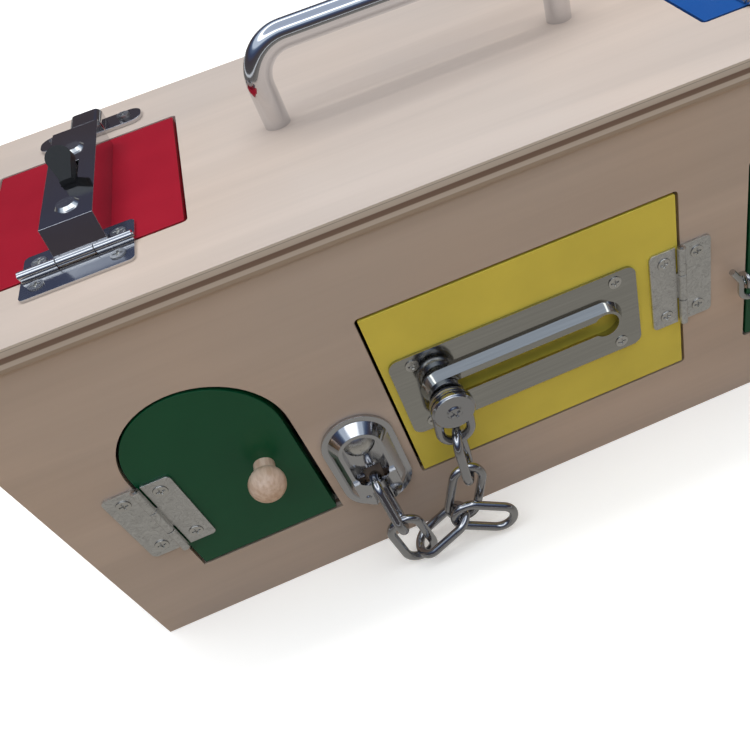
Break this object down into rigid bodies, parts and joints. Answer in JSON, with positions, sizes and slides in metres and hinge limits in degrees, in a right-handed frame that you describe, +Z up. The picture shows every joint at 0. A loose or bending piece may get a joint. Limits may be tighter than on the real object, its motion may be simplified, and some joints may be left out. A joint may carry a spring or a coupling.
{
  "type": "wooden lock box toy",
  "caption": "Plywood activity box for a young child: small coloured doors on the front and top, each shut by a different latch, hook, bolt, chain or knob, with a carry handle.",
  "frame": {"origin": "centre of the flat base", "axes": "+X along the length of the box, to the right as seen from the front; -Y out of the front; +Z up"},
  "size_m": [0.377, 0.1811, 0.194],
  "materials": {
    "birch_plywood": "clear satin lacquer",
    "inner_wood": "raw sanded",
    "green_paint": "satin paint",
    "yellow_paint": "satin paint",
    "red_paint": "satin paint",
    "blue_paint": "satin paint",
    "knob_wood": "clear lacquer",
    "black_plastic": "moulded",
    "magnet_black": "moulded",
    "hinge_steel": "brushed, plated",
    "chrome_plate": "polished plate",
    "satin_nickel": "satin plate",
    "bright_zinc": "bright plate"
  },
  "bodies": {
    "box": {"top_panel": "birch_plywood", "front_panel": "birch_plywood", "back_panel": "birch_plywood", "left_end_panel": "birch_plywood", "right_end_panel": "birch_plywood", "bottom_panel": "birch_plywood", "left_divider": "inner_wood", "right_divider": "inner_wood", "carry_handle": "chrome_plate", "handle_screws": "bright_zinc", "arch_hinge_frame_leaf": "hinge_steel", "chain_door_hinge_frame_leaf": "hinge_steel", "hook_door_hinge_frame_leaf": "hinge_steel", "red_lid_hinge_frame_leaf": "hinge_steel", "blue_lid_hinge_frame_leaf": "hinge_steel", "hinge_pins": "bright_zinc", "frame_screws": "bright_zinc", "latch_keeper": "chrome_plate", "bolt_staple": "chrome_plate", "chain_anchor_plate": "chrome_plate", "anchor_screw": "bright_zinc", "fixed_eye": "bright_zinc", "magnet_catch": "magnet_black", "chain_link_5": "chrome_plate", "chain_link_6": "chrome_plate", "chain_link_7": "chrome_plate"},
    "arch_door": {"arch_door": "green_paint", "arch_door_hinge_leaf": "hinge_steel", "arch_door_screws": "bright_zinc", "ball_knob": "knob_wood", "knob_screw": "bright_zinc", "catch_plate": "bright_zinc"},
    "chain_door": {"chain_door": "yellow_paint", "chain_door_hinge_leaf": "hinge_steel", "chain_door_screws": "bright_zinc", "chain_slide_plate": "satin_nickel", "slide_plate_screws": "bright_zinc"},
    "hook_door": {"hook_door": "green_paint", "hook_door_hinge_leaf": "hinge_steel", "hook_door_screws": "bright_zinc", "hook_pivot_eye": "bright_zinc"},
    "red_lid": {"red_lid": "red_paint", "red_lid_hinge_leaf": "hinge_steel", "red_lid_screws": "bright_zinc", "latch_housing": "chrome_plate", "latch_rivets": "bright_zinc"},
    "blue_lid": {"blue_lid": "blue_paint", "blue_lid_hinge_leaf": "hinge_steel", "blue_lid_screws": "bright_zinc", "barrel_plate": "chrome_plate", "barrel_plate_screws": "bright_zinc"},
    "latch_slide": {"latch_bolt": "chrome_plate", "latch_thumb_lever": "black_plastic"},
    "barrel_rod": {"barrel_rod": "chrome_plate"},
    "door_hook": {"door_hook": "bright_zinc"},
    "chain_slider": {"chain_slider": "chrome_plate", "chain_link_1": "chrome_plate", "chain_link_2": "chrome_plate", "chain_link_3": "chrome_plate"},
    "loose_link": {"chain_link_4": "chrome_plate"}
  },
  "joints": [
    {"name": "arch_door_hinge", "type": "hinge", "parent": "box", "child": "arch_door", "pos_m": [-0.1544, -0.0795, 0.069], "axis": [0, 0, -1], "range_deg": [0, 110]},
    {"name": "chain_door_hinge", "type": "hinge", "parent": "box", "child": "chain_door", "pos_m": [0.0649, -0.0795, 0.078], "axis": [0, 0, 1], "range_deg": [0, 110]},
    {"name": "hook_door_hinge", "type": "hinge", "parent": "box", "child": "hook_door", "pos_m": [0.1544, -0.0795, 0.078], "axis": [0, 0, 1], "range_deg": [0, 110]},
    {"name": "red_lid_hinge", "type": "hinge", "parent": "box", "child": "red_lid", "pos_m": [-0.1315, -0.0449, 0.162], "axis": [1, 0, 0], "range_deg": [0, 100]},
    {"name": "blue_lid_hinge", "type": "hinge", "parent": "box", "child": "blue_lid", "pos_m": [0.1315, -0.0449, 0.162], "axis": [1, 0, 0], "range_deg": [0, 100]},
    {"name": "latch_slide", "type": "slide", "parent": "red_lid", "child": "latch_slide", "axis": [0, 1, 0], "range_m": [0, 0.012]},
    {"name": "barrel_rod_slide", "type": "slide", "parent": "blue_lid", "child": "barrel_rod", "axis": [0, 1, 0], "range_m": [0, 0.012]},
    {"name": "hook_swing", "type": "hinge", "parent": "hook_door", "child": "door_hook", "pos_m": [0.124, -0.0835, 0.062], "axis": [0, -1, 0], "range_deg": [0, 90]},
    {"name": "chain_slide", "type": "slide", "parent": "chain_door", "child": "chain_slider", "axis": [1, 0, 0], "range_m": [0, 0.067]},
    {"name": "loose_link_swing", "type": "hinge", "parent": "box", "child": "loose_link", "pos_m": [-0.04807, -0.09378, 0.01892], "axis": [0, -1, 0], "range_deg": [0, 14]}
  ]
}
